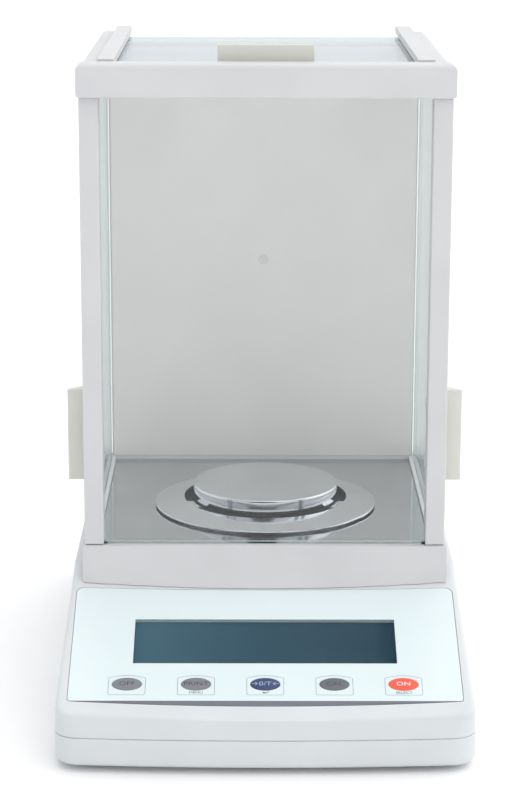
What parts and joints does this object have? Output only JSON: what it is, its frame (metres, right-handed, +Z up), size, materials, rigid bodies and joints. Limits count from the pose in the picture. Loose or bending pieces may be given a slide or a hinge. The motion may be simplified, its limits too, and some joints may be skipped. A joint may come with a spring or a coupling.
{
  "type": "analytical balance",
  "caption": "Analytical balance with a glass draft shield, three sliding doors, round pan with shield ring, sloped keypad with display and levelling feet.",
  "frame": {"origin": "on the table, under the middle of the base", "axes": "+Z up, -Y towards the user, +X to the user's right"},
  "size_m": [0.215, 0.34, 0.3564],
  "materials": {
    "housing_plastic": "fine moulded texture, semi-matt",
    "shield_plastic": "fine moulded texture, semi-matt",
    "overlay_film": "smooth printed film",
    "window_film": "clear film",
    "lcd_glass": "dark display glass",
    "clear_glass": "clear float glass",
    "polished_steel": "polished stainless sheet",
    "handle_plastic": "warm ivory moulding",
    "key_grey": "printed oval",
    "key_blue": "printed oval",
    "key_dark": "printed oval",
    "key_red": "printed oval",
    "rubber": "black rubber",
    "black_plastic": "black moulding",
    "zinc_steel": "zinc-plated steel",
    "aluminium": "milled aluminium",
    "beam_alloy": "milled beam with a copper coil",
    "circuit_board": "green board",
    "vial_acrylic": "clear acrylic with spirit"
  },
  "bodies": {
    "base": {"base_tray": "housing_plastic", "upper_housing": "housing_plastic", "keypad_overlay": "overlay_film", "display_window": "window_film", "lcd_panel": "lcd_glass", "display_board": "circuit_board", "floor_plate": "polished_steel", "pan_well": "black_plastic", "shield_base_frame": "shield_plastic", "left_front_post": "shield_plastic", "right_front_post": "shield_plastic", "rear_panel": "shield_plastic", "top_frame": "shield_plastic", "left_top_rail": "shield_plastic", "right_top_rail": "shield_plastic", "front_glass": "clear_glass", "left_glass_pad": "rubber", "right_glass_pad": "rubber", "chassis_plate": "zinc_steel", "load_cell_frame": "aluminium", "magnet_pot": "zinc_steel", "main_board": "circuit_board", "transformer": "zinc_steel", "power_inlet": "black_plastic", "serial_port": "zinc_steel", "level_vial": "vial_acrylic", "housing_screw_1": "zinc_steel", "housing_screw_2": "zinc_steel", "housing_screw_3": "zinc_steel", "housing_screw_4": "zinc_steel", "left_front_foot": "rubber", "right_front_foot": "rubber"},
    "left_door": {"left_door_glass": "clear_glass", "left_door_handle": "handle_plastic", "left_door_nut_low": "handle_plastic", "left_door_nut_high": "handle_plastic"},
    "right_door": {"right_door_glass": "clear_glass", "right_door_handle": "handle_plastic", "right_door_nut_low": "handle_plastic", "right_door_nut_high": "handle_plastic"},
    "top_door": {"top_door_glass": "clear_glass", "top_door_handle": "handle_plastic", "top_door_nut_left": "handle_plastic", "top_door_nut_right": "handle_plastic"},
    "pan_carrier": {"pan_carrier": "aluminium"},
    "weighing_pan": {"weighing_pan": "polished_steel"},
    "balance_beam": {"balance_beam": "beam_alloy"},
    "shield_ring": {"shield_ring": "polished_steel"},
    "key_off": {"key_off": "key_grey"},
    "key_print": {"key_print": "key_grey"},
    "key_tare": {"key_tare": "key_blue"},
    "key_cal": {"key_cal": "key_dark"},
    "key_on": {"key_on": "key_red"},
    "left_foot_pad": {"left_foot_pad": "rubber"},
    "left_foot_screw": {"left_foot_screw": "zinc_steel"},
    "right_foot_pad": {"right_foot_pad": "rubber"},
    "right_foot_screw": {"right_foot_screw": "zinc_steel"}
  },
  "joints": [
    {"name": "left_door_slide", "type": "slide", "parent": "base", "child": "left_door", "axis": [0, 1, 0], "range_m": [0, 0.14]},
    {"name": "right_door_slide", "type": "slide", "parent": "base", "child": "right_door", "axis": [0, 1, 0], "range_m": [0, 0.14]},
    {"name": "top_door_slide", "type": "slide", "parent": "base", "child": "top_door", "axis": [0, 1, 0], "range_m": [0, 0.14]},
    {"name": "pan_carrier_travel", "type": "slide", "parent": "base", "child": "pan_carrier", "axis": [0, 0, -1], "range_m": [0, 0.0003], "stiffness_N_per_m": 6000, "springref_m": -0.0005},
    {"name": "beam_tilt", "type": "hinge", "parent": "base", "child": "balance_beam", "pos_m": [0, 0.055, 0.0565], "axis": [1, 0, 0], "range_deg": [0, 1]},
    {"name": "pan_lift", "type": "slide", "parent": "pan_carrier", "child": "weighing_pan", "axis": [0, 0, 1], "range_m": [0, 0.1]},
    {"name": "ring_lift", "type": "slide", "parent": "base", "child": "shield_ring", "axis": [0, 0, 1], "range_m": [0, 0.0006]},
    {"name": "key_off_press", "type": "slide", "parent": "base", "child": "key_off", "axis": [0, 0.3714, -0.9285], "range_m": [0, 0.0005], "stiffness_N_per_m": 1500},
    {"name": "key_print_press", "type": "slide", "parent": "base", "child": "key_print", "axis": [0, 0.3714, -0.9285], "range_m": [0, 0.0005], "stiffness_N_per_m": 1500},
    {"name": "key_tare_press", "type": "slide", "parent": "base", "child": "key_tare", "axis": [0, 0.3714, -0.9285], "range_m": [0, 0.0005], "stiffness_N_per_m": 1500},
    {"name": "key_cal_press", "type": "slide", "parent": "base", "child": "key_cal", "axis": [0, 0.3714, -0.9285], "range_m": [0, 0.0005], "stiffness_N_per_m": 1500},
    {"name": "key_on_press", "type": "slide", "parent": "base", "child": "key_on", "axis": [0, 0.3714, -0.9285], "range_m": [0, 0.0005], "stiffness_N_per_m": 1500},
    {"name": "left_foot_rise", "type": "slide", "parent": "base", "child": "left_foot_pad", "axis": [0, 0, -1], "range_m": [-0.00102, 0.00402]},
    {"name": "left_foot_turn", "type": "hinge", "parent": "left_foot_pad", "child": "left_foot_screw", "pos_m": [-0.085, 0.145, 0.006], "axis": [0, 0, -1], "range_deg": [-360, 1440]},
    {"name": "right_foot_rise", "type": "slide", "parent": "base", "child": "right_foot_pad", "axis": [0, 0, -1], "range_m": [-0.00102, 0.00402]},
    {"name": "right_foot_turn", "type": "hinge", "parent": "right_foot_pad", "child": "right_foot_screw", "pos_m": [0.085, 0.145, 0.006], "axis": [0, 0, -1], "range_deg": [-360, 1440]}
  ],
  "couplings": [
    {"joint": "beam_tilt", "follows": "pan_carrier_travel", "rad_per_m": 50},
    {"joint": "left_foot_rise", "follows": "left_foot_turn", "m_per_rad": 0.00015915},
    {"joint": "right_foot_rise", "follows": "right_foot_turn", "m_per_rad": 0.00015915}
  ]
}
